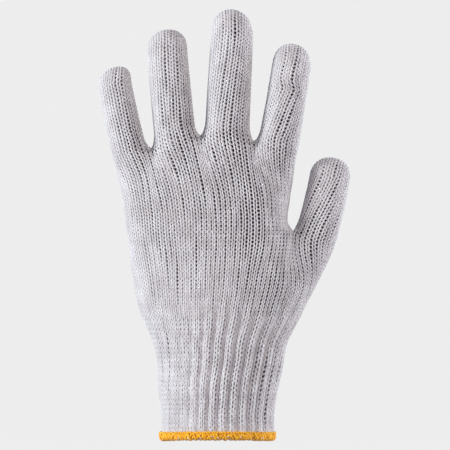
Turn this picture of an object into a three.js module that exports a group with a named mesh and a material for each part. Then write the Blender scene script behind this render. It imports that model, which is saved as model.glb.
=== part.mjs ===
// A knitted cotton work glove for the left hand, in the form that it takes when it is worn.
// Millimetres. +Z points to the fingertips and the back of the hand faces -Y, with the thumb at +X.
// The origin is the middle of the cuff's mouth. Every piece is a tube of knitted cloth, open
// where it joins the next one: five digits, the palm, the heel of the hand and a ribbed cuff,
// with a thread hem overlocked round the mouth.
// Each column of faces is one wale, a column of stitches.
import * as THREE from "three";

// Cloth
const WALL = 2.2; // thickness of the knit, two strands of yarn
const GAP = 0.3; // play between neighbouring pieces

// Heights up the glove
const CUFF_HEIGHT = 72; // mouth to the top of the ribs
const HEEL_HEIGHT = 49.5; // top of the ribs to the thumb's crotch
const PALM_HEIGHT = 51; // thumb's crotch to the knuckles
const KNUCKLE_ARCH = 10; // how far the line of the knuckles bows
const MOUTH_ARCH = 0.8; // how far the mouth rises in front and behind

// Widths, depths and sideways shifts of the hand
const CUFF_WIDTH = 66;
const CUFF_DEPTH = 43;
const HEEL_WIDTH = 92;
const HEEL_DEPTH = 39;
const HEEL_SHIFT = 2;
const PALM_WIDTH = 96.5; // at the thumb's crotch, without the thumb
const PALM_DEPTH = 35;
const PALM_SHIFT = -4.2;
const KNUCKLE_DEPTH = 29;
const KNUCKLE_SHIFT = -7.3;

// Where digits part
const CROTCH_GAP = 4.6; // between neighbouring fingers, just above their crotch
const CROTCH_RISE = 9; // height over which a finger widens to its crotches
const KNUCKLE_FADE = 17; // how far below the knuckles the valleys between the fingers reach
const THUMB_FADE = 24; // the same below the thumb
const WALE_FADE = 34; // length over which the wales even out below a row of digits

// Cuff
const RIBS = 30;
const RIB_DEPTH = 1.5;
const RIB_PULL = 0.25; // how far the elastic draws the wales of a rib over the groove, in wales
const CUFF_INSET = 0.7; // the hem pulls the ribs in by this much at the mouth
const HEM_HEIGHT = 4.6;
const HEM_THREAD = 1.1; // thickness of the overlocked thread on each side of the cloth
const HEM_SEGMENTS = 48;

// Roundness of the sections: 2 is an ellipse, and more is squarer
const DIGIT_POWER = 2.1;
const HAND_POWER = 2.5;
const CUFF_POWER = 2.15;

// The four fingers, from the little finger to the index finger. Wales are those of the front.
// Leans are in degrees, to the right. Taper is the tip's width as a share of the root's, dome the
// height of the rounded tip, peak how far its top lies off the middle, and curl how far the tip
// bends to the palm.
const FINGERS = [
  { name: "little_finger", wales: 8, width: 20.6, depth: 19.4, length: 50.4, lean: -14, tipLean: -10, taper: 0.94, dome: 9.6, peak: 2.6, curl: 4 },
  { name: "ring_finger", wales: 9, width: 24.2, depth: 22.2, length: 66, lean: -6.5, tipLean: -4, taper: 0.96, dome: 11.4, peak: 0.9, curl: 5 },
  { name: "middle_finger", wales: 9, width: 26, depth: 23.2, length: 75.4, lean: 2, tipLean: 4, taper: 0.92, dome: 14.5, peak: -1, curl: 5.5 },
  { name: "index_finger", wales: 9, width: 23.6, depth: 22, length: 61.2, lean: 10.5, tipLean: 8, taper: 0.93, dome: 12.5, peak: -0.6, curl: 4.5 },
];
const THUMB = { name: "thumb", wales: 9, width: 24.6, depth: 22.8, length: 48, lean: 17, tipLean: 8, taper: 0.95, dome: 11.4, peak: 0.5, curl: 5 };
const THUMB_FLARE = 1; // how much the thumb widens at its crotch
const THUMB_SET = 4; // how far the thumb lies behind the middle of the palm

// Heights of the knuckle line, in shares of its arch: its left end, three crotches, its right end
const KNUCKLE_LINE = [-0.65, -0.33, 0.43, 0.11, -0.55];

// Sections between two ends. at is the share of the height, the others shares of the way from the
// lower end's size to the upper end's. rib is the share of the ribs' depth that shows there, and
// notch is how far the side above the thumb's crotch stands back, as a share of the palm's width.
const CUFF_ROWS = [
  { at: 0, left: 0, right: 0, depth: 0, rib: 0.15 },
  { at: 0.09, left: -0.01, right: -0.01, depth: 0, rib: 0.6 },
  { at: 0.21, left: 0.03, right: -0.05, depth: 0.05, rib: 1 },
  { at: 0.41, left: 0.16, right: 0.09, depth: 0.15, rib: 1 },
  { at: 0.6, left: 0.17, right: 0.28, depth: 0.3, rib: 1 },
  { at: 0.79, left: 0.45, right: 0.47, depth: 0.6, rib: 0.85 },
  { at: 1, left: 1, right: 1, depth: 1, rib: 0.4 },
];
const HEEL_ROWS = [
  { at: 0, left: 0, right: 0, depth: 0, rib: 0.4 },
  { at: 0.16, left: 0.3, right: 0.17, depth: 0.15, rib: 0.12 },
  { at: 0.42, left: 0.6, right: 0.45, depth: 0.4, rib: 0 },
  { at: 0.68, left: 0.79, right: 0.72, depth: 0.7, rib: 0 },
  { at: 0.87, left: 0.91, right: 0.9, depth: 0.9, rib: 0 },
  { at: 1, left: 1, right: 1, depth: 1, rib: 0 },
];
const PALM_ROWS = [
  { at: 0, left: 0, right: 0, depth: 0, notch: 0 },
  { at: 0.12, left: 0.11, right: 0.12, depth: 0.05, notch: 0.038 },
  { at: 0.36, left: 0.27, right: 0.36, depth: 0.3, notch: 0.034 },
  { at: 0.62, left: 0.5, right: 0.62, depth: 0.6, notch: 0.022 },
  { at: 0.82, left: 0.73, right: 0.82, depth: 0.85, notch: 0.011 },
  { at: 0.94, left: 0.93, right: 0.94, depth: 0.97, notch: 0.006 },
  { at: 1, left: 1, right: 1, depth: 1, notch: 0 },
];

// Rows of a digit: shares of the height of its crotches, of the shaft above, and of a quarter turn
// over the tip
const ROOT_ROWS = [0, 0.3, 0.65, 1];
const SHAFT_ROWS = [0.33, 0.67, 1];
const DOME_ROWS = [0.3, 0.55, 0.78];

const THUMB_LEVEL = CUFF_HEIGHT + HEEL_HEIGHT;
const KNUCKLE_LEVEL = THUMB_LEVEL + PALM_HEIGHT;
const KNUCKLE_SPAN = FINGERS.reduce((sum, f) => sum + f.width, 0) + 3 * CROTCH_GAP;
const CROTCH_DROP = 0.85 * WALL; // the cloth's inner side lies this far under a crotch

const mix = (a, b, share) => a + (b - a) * share;
const clamp = (value) => Math.min(1, Math.max(0, value));
const smooth = (share) => share * share * (3 - 2 * share);
const radians = (degrees) => (degrees * Math.PI) / 180;

// A ring is { front, back }: its points on the front and on the back, both from left to right.
const loop = ({ front, back }) => [...front, ...back.toReversed()];
const slice = (ring, from, wales) => ({
  front: ring.front.slice(from, from + wales + 1),
  back: ring.back.slice(from, from + wales + 1),
});
const eachPoint = (ring, change) => ({ front: ring.front.map(change), back: ring.back.map(change) });
const pairPoints = (a, b, join) => ({
  front: a.front.map((p, i) => join(p, b.front[i])),
  back: a.back.map((p, i) => join(p, b.back[i])),
});
const raised = (ring, height) => eachPoint(ring, (p) => new THREE.Vector3(p.x, p.y, p.z + height));

// The ring of a rounded section, spaced so that every wale is as wide as the next, or with the
// wales of the ribs drawn over their grooves.
function ringOf(section, wales, pull = 0) {
  const side = (depth, direction) => {
    const outline = Array.from({ length: 41 }, (_, i) => {
      const angle = Math.PI * (1 - i / 40);
      const across = Math.cos(angle);
      const reach = across < 0 ? -section.left : section.right;
      return new THREE.Vector2(
        reach * Math.abs(across) ** (2 / section.power),
        depth * Math.abs(Math.sin(angle)) ** (2 / section.power),
      );
    });
    const curve = new THREE.SplineCurve(outline);
    return Array.from({ length: wales + 1 }, (_, i) => {
      const drawn = direction < 0 ? i % 3 : (i % 3) - 2;
      const at = curve.getPointAt((i + 0.5 + pull * drawn) / (wales + 1));
      const point = section.centre.clone().addScaledVector(section.across, at.x);
      point.y += direction * at.y;
      return point;
    });
  };
  return { front: side(section.front, -1), back: side(section.back, 1) };
}

// The same section, smaller all round by the given amount.
const inset = (section, by) => ({
  ...section,
  left: section.left - by,
  right: section.right - by,
  front: section.front - by,
  back: section.back - by,
});

// A value of a table between its rows, on a curve through them.
function between(rows, at, column) {
  const next = Math.max(1, rows.findIndex((row) => row.at >= at));
  const [a, b] = [rows[next - 1], rows[next]];
  const slope = (low, high) => (high[column] - low[column]) / (high.at - low.at);
  const start = next > 1 ? slope(rows[next - 2], b) : slope(a, b);
  const end = next < rows.length - 1 ? slope(a, rows[next + 1]) : slope(a, b);
  const t = (at - a.at) / (b.at - a.at);
  const width = b.at - a.at;
  return (
    (1 + 2 * t) * (1 - t) ** 2 * a[column] +
    t * (1 - t) ** 2 * width * start +
    t * t * (3 - 2 * t) * b[column] +
    t * t * (t - 1) * width * end
  );
}

// The four ends that the hand's sections run between: edges left and right of the origin, half depth
const endOf = (width, shift, depth) => ({ left: shift - width / 2, right: shift + width / 2, half: depth / 2 });
const MOUTH = endOf(CUFF_WIDTH, 0, CUFF_DEPTH);
const HEEL = endOf(HEEL_WIDTH, HEEL_SHIFT, HEEL_DEPTH);
const CROTCH = endOf(PALM_WIDTH, PALM_SHIFT, PALM_DEPTH);
const KNUCKLES = endOf(KNUCKLE_SPAN, KNUCKLE_SHIFT, KNUCKLE_DEPTH);

// The hand's section at a share of the way between two ends.
function handSection(rows, at, low, high, power) {
  const left = mix(low.left, high.left, between(rows, at, "left"));
  const right = mix(low.right, high.right, between(rows, at, "right"));
  const half = mix(low.half, high.half, between(rows, at, "depth"));
  return {
    centre: new THREE.Vector3((left + right) / 2, 0, 0),
    across: new THREE.Vector3(1, 0, 0),
    left: (right - left) / 2,
    right: (right - left) / 2,
    front: half,
    back: half,
    power,
  };
}

// The ring of a section with ribs: two wales stand proud and the third lies in a groove.
function ribbedRing(section, wales, rib) {
  const groove = ringOf(section, wales, RIB_PULL * rib);
  const crest = ringOf(inset(section, -RIB_DEPTH * rib), wales, RIB_PULL * rib);
  const pick = (side) => groove[side].map((p, i) => (i % 3 === 1 ? crest[side][i] : p));
  return { front: pick("front"), back: pick("back") };
}

// The side of the palm stands back above the thumb's crotch. The wales near it go with it.
function notched(ring, section, depth) {
  return eachPoint(ring, (p) => {
    const near = clamp((p.x - section.centre.x) / section.right) ** 3;
    return p.clone().setX(p.x - depth * near);
  });
}

// A digit springs from the line between two points and leans as it rises.
function digitOf(sizes, start, end, flareLeft, flareRight, set) {
  const half = sizes.width / 2;
  const share = (half + flareLeft) / (sizes.width + flareLeft + flareRight);
  const root = start.clone().lerp(end, share);
  root.y += set;
  return { ...sizes, root, flareLeft, flareRight, rootAcross: end.clone().sub(start).normalize() };
}

const leanAt = (digit, height) => radians(mix(digit.lean, digit.tipLean, height / digit.length));

function digitSection(digit, height) {
  const lean = leanAt(digit, height);
  const meanLean = (radians(digit.lean) + lean) / 2;
  const centre = digit.root.clone();
  centre.x += height * Math.sin(meanLean);
  centre.z += height * Math.cos(meanLean);
  centre.y += digit.curl * (height / digit.length) ** 2;
  const settled = smooth(clamp(height / (2 * CROTCH_RISE)));
  const across = digit.rootAcross
    .clone()
    .lerp(new THREE.Vector3(Math.cos(lean), 0, -Math.sin(lean)), settled)
    .normalize();
  const taper = mix(1, digit.taper, height / digit.length);
  const flare = (1 - clamp(height / CROTCH_RISE)) ** 2;
  return {
    centre,
    across,
    left: (digit.width / 2) * taper + digit.flareLeft * flare,
    right: (digit.width / 2) * taper + digit.flareRight * flare,
    front: (digit.depth / 2) * taper,
    back: (digit.depth / 2) * taper,
    power: DIGIT_POWER,
  };
}

// A ring over the rounded tip, at a share of a quarter turn. The wales stay side by side, and
// those of the front meet those of the back on a line across the tip.
function domeRing(digit, share, by) {
  const height = digit.length - digit.dome;
  const section = inset(digitSection(digit, height), by);
  const turn = (share * Math.PI) / 2;
  const lean = leanAt(digit, height);
  const axis = new THREE.Vector3(Math.sin(lean), 0, Math.cos(lean));
  return eachPoint(ringOf(section, digit.wales), (p) => {
    const depth = p.y - section.centre.y;
    const bulge = Math.abs(depth) / section.front;
    return p
      .clone()
      .setY(section.centre.y + depth * Math.cos(turn))
      .addScaledVector(axis, (digit.dome - by) * bulge * Math.sin(turn))
      .addScaledVector(section.across, digit.peak * bulge * Math.sin(turn));
  });
}

// Faces of one closed shell, collected row by row.
class Shell {
  points = [];
  faces = [];

  row(ring) {
    const place = (p) => this.points.push(p) - 1;
    return { front: ring.front.map(place), back: ring.back.map(place) };
  }

  quad(a, b, c, d) {
    this.faces.push([a, b, c], [a, c, d]);
  }

  // Joins two rings of as many points, the first one below or outside the second.
  skin(low, high) {
    const [a, b] = [loop(low), loop(high)];
    a.forEach((_, i) => {
      const j = (i + 1) % a.length;
      this.quad(a[i], a[j], b[j], b[i]);
    });
  }

  // Joins the outer and the inner edge of the cloth. Pieces that meet have the same diagonals.
  edge(outer, inner, upward) {
    const [a, b] = [loop(outer), loop(inner)];
    a.forEach((_, i) => {
      const j = (i + 1) % a.length;
      if (upward) this.quad(b[i], a[i], a[j], b[j]);
      else this.quad(b[i], b[j], a[j], a[i]);
    });
  }

  // Joins rings whose numbers of points differ.
  zip(low, high) {
    const [a, b] = [loop(low), loop(high)];
    let [i, j] = [0, 0];
    while (i < a.length || j < b.length) {
      const [p, q] = [a[i % a.length], b[j % b.length]];
      if (j === b.length || (i < a.length && (i + 1) / a.length <= (j + 1) / b.length)) {
        i += 1;
        this.faces.push([p, a[i % a.length], q]);
      } else {
        j += 1;
        this.faces.push([p, b[j % b.length], q]);
      }
    }
  }

  // Closes a tip along the line on which the front's wales meet the back's.
  close(ring, tip, outward) {
    const seam = tip.map((p) => this.points.push(p) - 1);
    const face = (...corners) => this.faces.push(outward ? corners : corners.toReversed());
    const last = seam.length - 1;
    for (let i = 0; i < last; i++) {
      face(ring.front[i], ring.front[i + 1], seam[i + 1]);
      face(ring.front[i], seam[i + 1], seam[i]);
      face(ring.back[i + 1], ring.back[i], seam[i]);
      face(ring.back[i + 1], seam[i], seam[i + 1]);
    }
    face(ring.front[last], ring.back[last], seam[last]);
    face(ring.back[0], ring.front[0], seam[0]);
  }

  mesh(name, material) {
    const geometry = new THREE.BufferGeometry().setFromPoints(this.points);
    geometry.setIndex(this.faces.flat());
    geometry.computeVertexNormals();
    const mesh = new THREE.Mesh(geometry, material);
    mesh.name = name;
    return mesh;
  }
}

// Crotches and digits
const lineUp = KNUCKLE_LINE.map((share, i) => {
  const before = FINGERS.slice(0, i).reduce((sum, f) => sum + f.width + CROTCH_GAP, 0);
  const ends = (i > 0 ? -CROTCH_GAP / 2 : 0) + (i === FINGERS.length ? -CROTCH_GAP / 2 : 0);
  return new THREE.Vector3(KNUCKLES.left + before + ends, 0, KNUCKLE_LEVEL + share * KNUCKLE_ARCH);
});
const fingers = FINGERS.map((sizes, i) => {
  const flareLeft = i > 0 ? CROTCH_GAP / 2 : 0;
  const flareRight = i < FINGERS.length - 1 ? CROTCH_GAP / 2 : 0;
  return digitOf(sizes, lineUp[i], lineUp[i + 1], flareLeft, flareRight, 0);
});
const thumbStart = new THREE.Vector3(CROTCH.right, 0, THUMB_LEVEL);
const thumbLean = radians(THUMB.lean);
const thumbEnd = new THREE.Vector3(Math.cos(thumbLean), 0, -Math.sin(thumbLean))
  .multiplyScalar(THUMB.width + THUMB_FLARE)
  .add(thumbStart);
const thumb = digitOf(THUMB, thumbStart, thumbEnd, THUMB_FLARE, 0, THUMB_SET);

// The root rings of neighbours meet at a crotch in one pair of points.
function meet(left, right) {
  for (const side of ["front", "back"]) {
    const shared = left[side].at(-1).clone().lerp(right[side][0], 0.5);
    left[side][left[side].length - 1] = shared;
    right[side][0] = shared;
  }
}

// The inner side of the cloth passes under a crotch.
function sink(ring, atLeft, atRight) {
  for (const side of ["front", "back"]) {
    if (atLeft) ring[side][0].z -= CROTCH_DROP;
    if (atRight) ring[side].at(-1).z -= CROTCH_DROP;
  }
}

// A digit keeps clear of its neighbour at their crotch.
function clearOf(ring, atLeft, atRight) {
  const clear = eachPoint(ring, (p) => p.clone());
  for (const side of ["front", "back"]) {
    if (atLeft) clear[side][0].x += GAP / 2;
    if (atRight) clear[side].at(-1).x -= GAP / 2;
  }
  return clear;
}

const rootRing = (digit, by) => ringOf(inset(digitSection(digit, 0), by), digit.wales);
const fingerRoots = fingers.map((digit) => rootRing(digit, 0));
fingerRoots.slice(1).forEach((ring, i) => meet(fingerRoots[i], ring));
const fingerLinings = fingers.map((digit) => rootRing(digit, WALL));
fingerLinings.forEach((ring, i) => sink(ring, i > 0, i < fingers.length - 1));

const palmWales = FINGERS.reduce((sum, f) => sum + f.wales, 0);
const palmFoot = handSection(PALM_ROWS, 0, CROTCH, KNUCKLES, HAND_POWER);
const palmFootRing = raised(ringOf(palmFoot, palmWales), THUMB_LEVEL);
const palmFootLining = raised(ringOf(inset(palmFoot, WALL), palmWales), THUMB_LEVEL);
const thumbRoot = rootRing(thumb, 0);
const thumbLining = rootRing(thumb, WALL);
meet(palmFootRing, thumbRoot);
sink(palmFootLining, false, true);
sink(thumbLining, true, false);

// Rings side by side as one ring. Neighbours share their crotch's points, or keep their own.
function joined(rings, shared) {
  const side = (name) => rings.flatMap((ring, i) => ring[name].slice(shared && i > 0 ? 1 : 0));
  return { front: side("front"), back: side("back") };
}

// A row of the hand below the digits: an even ring that turns into the digits' roots at the top.
// across carries a place along the top's width over to the row's width.
function blended(even, top, foot, share, fade, across) {
  return pairPoints(even, top, (p, q) => {
    const below = (1 - share) * (q.z - foot);
    const depth = 1 - Math.sqrt(1 - (1 - clamp(below / fade)) ** 2);
    const spread = smooth(1 - clamp(below / WALE_FADE));
    return new THREE.Vector3(mix(p.x, across(q.x), spread), mix(p.y, q.y, depth), mix(foot, q.z, share));
  });
}

// A stretch of the hand, from a level foot to the roots that open at its top.
function handPiece(name, material, stretch) {
  const shell = new Shell();
  const { rows, low, high, foot, fade, roots, linings, ribs } = stretch;
  const [topRing, topLining] = [joined(roots, true), joined(linings, false)];
  const sectionAt = (at, by) => inset(handSection(rows, at, low, high, stretch.power(at)), by);
  const level = (at, by, top) => {
    const [section, highest] = [sectionAt(at, by), sectionAt(1, by)];
    const across = (x) => section.centre.x + ((x - highest.centre.x) * section.left) / highest.left;
    const wales = top.front.length - 1;
    const even = ribs ? ribbedRing(section, wales, between(rows, at, "rib")) : ringOf(section, wales);
    const wide = blended(even, top, foot, at, fade, across);
    const ring = ribs ? wide : notched(wide, section, between(rows, at, "notch") * PALM_WIDTH);
    return raised(ring, mix(GAP / 2, -GAP / 2, at));
  };
  const outer = rows.map(({ at }) => shell.row(level(at, 0, topRing)));
  const inner = rows.map(({ at }) => shell.row(level(at, WALL, topLining)));
  for (let i = 1; i < rows.length; i++) {
    shell.skin(outer[i - 1], outer[i]);
    shell.skin(inner[i], inner[i - 1]);
  }
  shell.zip(inner[0], outer[0]);
  let [from, innerFrom] = [0, 0];
  roots.forEach((root, i) => {
    const wales = root.front.length - 1;
    const lining = slice(inner.at(-1), innerFrom, wales);
    shell.edge(slice(outer.at(-1), from, wales), lining, true);
    from += wales;
    innerFrom += wales + 1;
    if (i < roots.length - 1) {
      const next = slice(inner.at(-1), innerFrom, 0);
      shell.quad(lining.front[wales], lining.back[wales], next.back[0], next.front[0]);
    }
  });
  return shell.mesh(name, material);
}

// A digit: a tube from its root, closed over the tip.
function digitPiece(digit, root, lining, material) {
  const shell = new Shell();
  const shaft = digit.length - digit.dome - CROTCH_RISE;
  const heights = [
    ...ROOT_ROWS.slice(1).map((share) => share * CROTCH_RISE),
    ...SHAFT_ROWS.map((share) => CROTCH_RISE + share * shaft),
  ];
  const tube = (first, by) => [
    shell.row(raised(first, GAP / 2)),
    ...heights.map((height) => shell.row(ringOf(inset(digitSection(digit, height), by), digit.wales))),
    ...DOME_ROWS.map((share) => shell.row(domeRing(digit, share, by))),
  ];
  const clear = clearOf(root, digit.flareLeft > 0, digit.flareRight > 0);
  const [outer, inner] = [tube(clear, 0), tube(lining, WALL)];
  for (let i = 1; i < outer.length; i++) {
    shell.skin(outer[i - 1], outer[i]);
    shell.skin(inner[i], inner[i - 1]);
  }
  shell.edge(outer[0], inner[0], false);
  shell.close(outer.at(-1), domeRing(digit, 1, 0).front, true);
  shell.close(inner.at(-1), domeRing(digit, 1, WALL).front, false);
  return shell.mesh(digit.name, material);
}

// Height of the mouth's edge: it rises in front and behind.
const mouthHeight = (p) => MOUTH_ARCH * clamp(Math.abs(p.y) / MOUTH.half) ** 2;
const handWales = palmWales + THUMB.wales;
const onMouth = (ring, height) => eachPoint(ring, (p) => p.clone().setZ(height + mouthHeight(p)));

// The ribbed cuff stands in the channel of the hem.
function cuffPiece(material) {
  const shell = new Shell();
  const foot = HEM_THREAD + GAP;
  const level = ({ at, rib }, by) => {
    const section = handSection(CUFF_ROWS, at, MOUTH, HEEL, CUFF_POWER);
    const ring = ribbedRing(inset(section, by + CUFF_INSET * (1 - at)), handWales, rib);
    const height = mix(foot, CUFF_HEIGHT - GAP / 2, at);
    return eachPoint(ring, (p) => p.clone().setZ(height + mouthHeight(p) * (1 - at)));
  };
  const outer = CUFF_ROWS.map((row) => shell.row(level(row, 0)));
  const inner = CUFF_ROWS.map((row) => shell.row(level(row, WALL)));
  for (let i = 1; i < CUFF_ROWS.length; i++) {
    shell.skin(outer[i - 1], outer[i]);
    shell.skin(inner[i], inner[i - 1]);
  }
  shell.edge(outer[0], inner[0], false);
  shell.edge(outer.at(-1), inner.at(-1), true);
  return shell.mesh("rib_cuff", material);
}

// The overlocked hem: a band of thread folded round the edge of the cloth.
function hemPiece(material) {
  const shell = new Shell();
  const section = inset(handSection(CUFF_ROWS, 0, MOUTH, HEEL, CUFF_POWER), CUFF_INSET);
  const crest = 0.4 * RIB_DEPTH + GAP;
  const outside = -crest - HEM_THREAD;
  const inside = WALL + GAP + HEM_THREAD;
  const round = 0.3 * HEM_HEIGHT;
  const profile = [
    { by: outside + 0.5, height: HEM_HEIGHT - 0.2 },
    { by: -crest, height: HEM_HEIGHT },
    { by: -crest, height: HEM_THREAD },
    { by: WALL + GAP, height: HEM_THREAD },
    { by: WALL + GAP, height: HEM_HEIGHT },
    { by: inside - 0.5, height: HEM_HEIGHT - 0.2 },
    { by: inside, height: round },
    { by: inside - 0.9, height: 0 },
    { by: outside + 0.9, height: 0 },
    { by: outside, height: round },
  ];
  const rows = profile.map(({ by, height }) =>
    shell.row(onMouth(ringOf(inset(section, by), HEM_SEGMENTS / 2 - 1), height)),
  );
  rows.forEach((row, i) => shell.skin(row, rows[(i + 1) % rows.length]));
  return shell.mesh("overlock_hem", material);
}

const cotton = new THREE.MeshStandardMaterial({ color: 0xd9d6da, roughness: 0.95, metalness: 0 });
const ribCotton = new THREE.MeshStandardMaterial({ color: 0xd2cfd3, roughness: 0.95, metalness: 0 });
const hemThread = new THREE.MeshStandardMaterial({ color: 0xeda41c, roughness: 0.85, metalness: 0 });

const glove = new THREE.Group();
fingers.forEach((digit, i) => glove.add(digitPiece(digit, fingerRoots[i], fingerLinings[i], cotton)));
glove.add(digitPiece(thumb, thumbRoot, thumbLining, cotton));
glove.add(
  handPiece("palm", cotton, {
    rows: PALM_ROWS,
    low: CROTCH,
    high: KNUCKLES,
    foot: THUMB_LEVEL,
    fade: KNUCKLE_FADE,
    power: () => HAND_POWER,
    roots: fingerRoots,
    linings: fingerLinings,
    ribs: false,
  }),
);
const thumbSide = { ...CROTCH, right: thumbEnd.x };
glove.add(
  handPiece("heel", cotton, {
    rows: HEEL_ROWS,
    low: HEEL,
    high: thumbSide,
    foot: CUFF_HEIGHT,
    fade: THUMB_FADE,
    power: (at) => mix(CUFF_POWER, HAND_POWER, at),
    roots: [palmFootRing, thumbRoot],
    linings: [palmFootLining, thumbLining],
    ribs: true,
  }),
);
glove.add(cuffPiece(ribCotton), hemPiece(hemThread));

export default glove;
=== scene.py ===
"""Knitted cotton work glove: every stitch of its yarn, its ribbed cuff and its overlocked hem."""

from dataclasses import dataclass, replace

import bmesh
import bpy
import numpy as np
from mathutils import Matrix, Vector


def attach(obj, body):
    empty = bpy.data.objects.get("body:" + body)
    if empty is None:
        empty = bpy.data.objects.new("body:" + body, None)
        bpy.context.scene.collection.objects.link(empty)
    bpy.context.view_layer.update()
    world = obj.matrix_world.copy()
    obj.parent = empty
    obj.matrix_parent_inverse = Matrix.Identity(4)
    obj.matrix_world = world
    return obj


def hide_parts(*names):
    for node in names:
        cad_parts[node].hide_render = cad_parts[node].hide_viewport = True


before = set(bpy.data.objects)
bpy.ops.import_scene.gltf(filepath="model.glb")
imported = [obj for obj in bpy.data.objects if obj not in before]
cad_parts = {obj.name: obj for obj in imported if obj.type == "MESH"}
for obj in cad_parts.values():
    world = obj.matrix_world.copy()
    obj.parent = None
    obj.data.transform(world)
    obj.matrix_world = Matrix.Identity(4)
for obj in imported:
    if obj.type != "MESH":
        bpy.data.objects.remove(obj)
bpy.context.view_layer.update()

MM = 0.001
UP = np.array([0.0, 0.0, 1.0])
BACK = np.array([0.0, 1.0, 0.0])

# The glove's sizes in millimetres, as in the part's source.
CUFF_HEIGHT = 72
HEEL_HEIGHT = 49.5
PALM_HEIGHT = 51
KNUCKLE_ARCH = 10
CUFF = {"width": 66, "shift": 0, "depth": 43}
HEEL = {"width": 92, "shift": 2, "depth": 39}
PALM = {"width": 96.5, "shift": -4.2, "depth": 35}
KNUCKLE_SHIFT = -7.3
KNUCKLE_DEPTH = 29
CROTCH_GAP = 4.6
CROTCH_RISE = 9
KNUCKLE_FADE = 17
THUMB_FADE = 24
WALE_FADE = 34
RIB_DEPTH = 1.5
CUFF_INSET = 0.7
MOUTH_ARCH = 0.8
CUFF_FOOT = 1.2  # where the cuff's lowest course lies, inside the hem
# How square the sections are: 2 is round.
DIGIT_POWER = 2.1
HAND_POWER = 2.5
CUFF_POWER = 2.15
RING_STEPS = 721  # points of a section's outline, before it is divided evenly
MOUTH_POINTS = 360
THUMB_LEVEL = CUFF_HEIGHT + HEEL_HEIGHT
KNUCKLE_LEVEL = THUMB_LEVEL + PALM_HEIGHT
KNUCKLE_LINE = (-0.65, -0.33, 0.43, 0.11, -0.55)

# Wales are the columns of stitches on the front of a digit, less the one at its side.
DIGIT_COLUMNS = ("name", "wales", "width", "depth", "length", "lean", "tip_lean", "taper", "dome", "peak", "curl")
DIGIT_TABLE = (
    ("little_finger", 8, 20.6, 19.4, 50.4, -14, -10, 0.94, 9.6, 2.6, 4),
    ("ring_finger", 9, 24.2, 22.2, 66, -6.5, -4, 0.96, 11.4, 0.9, 5),
    ("middle_finger", 9, 26, 23.2, 75.4, 2, 4, 0.92, 14.5, -1, 5.5),
    ("index_finger", 9, 23.6, 22, 61.2, 10.5, 8, 0.93, 12.5, -0.6, 4.5),
    ("thumb", 9, 24.6, 22.8, 48, 17, 8, 0.95, 11.4, 0.5, 5),
)
*FINGERS, THUMB = [dict(zip(DIGIT_COLUMNS, row)) for row in DIGIT_TABLE]
THUMB_FLARE = 1
THUMB_SET = 4
DOME_ARC = 1.35  # the way over a rounded tip, as a share of its height

# Rows of each tube: share of its height, then shares of the way to its upper end's edges and depth. A rib row
# says how far the ribs stand out, and a notch how far the right edge is drawn in, as a share of the width.
CUFF_ROWS = {
    "at": (0, 0.09, 0.21, 0.41, 0.6, 0.79, 1),
    "left": (0, -0.01, 0.03, 0.16, 0.17, 0.45, 1),
    "right": (0, -0.01, -0.05, 0.09, 0.28, 0.47, 1),
    "depth": (0, 0, 0.05, 0.15, 0.3, 0.6, 1),
    "rib": (0.15, 0.6, 1, 1, 1, 0.85, 0.4),
}
HEEL_ROWS = {
    "at": (0, 0.16, 0.42, 0.68, 0.87, 1),
    "left": (0, 0.3, 0.6, 0.79, 0.91, 1),
    "right": (0, 0.17, 0.45, 0.72, 0.9, 1),
    "depth": (0, 0.15, 0.4, 0.7, 0.9, 1),
    "rib": (0.4, 0.12, 0, 0, 0, 0),
}
PALM_ROWS = {
    "at": (0, 0.12, 0.36, 0.62, 0.82, 0.94, 1),
    "left": (0, 0.11, 0.27, 0.5, 0.73, 0.93, 1),
    "right": (0, 0.12, 0.36, 0.62, 0.82, 0.94, 1),
    "depth": (0, 0.05, 0.3, 0.6, 0.85, 0.97, 1),
    "notch": (0, 0.038, 0.034, 0.022, 0.011, 0.006, 0),
}

# The knit, measured on the photograph: a course is one row of stitches.
COURSE = 2.2
CUFF_COURSE = 2.75
YARN = 1.16  # thickness of the knitting yarn
RIB_YARN = 1.05  # the same, where the elastic draws it tight
CLOTH_MIDDLE = 0.8  # the knit's middle lies this far under the outer side
LOOP_SWAY = 0.215  # how far the legs of a loop lean, in wales
LOOP_REACH = 0.79  # half the height of a loop, in courses
LOOP_DEPTH = 0.42  # how far the legs stand before the loop's ends, in millimetres
LOOP_FLAT = 0.45  # the share of that where the cloth is full
YARN_FULL, YARN_DRAWN = 1.3, 0.93  # shares of the yarn's thickness, in full cloth and in cloth drawn open
POINTS_PER_STITCH = 10
# Chance differences from stitch to stitch, each with the rounds by which it is spread up its wale.
WALE_UNEVEN = (0.06, 14)  # the wale's place, in wales
SLACK_UNEVEN = (0.06, 1)  # the sway of a loop
YARN_UNEVEN = (0.045, 8)  # the yarn's thickness
EVEN_ENDS = 4  # courses from either end of a cloth over which its wales find their places
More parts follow.
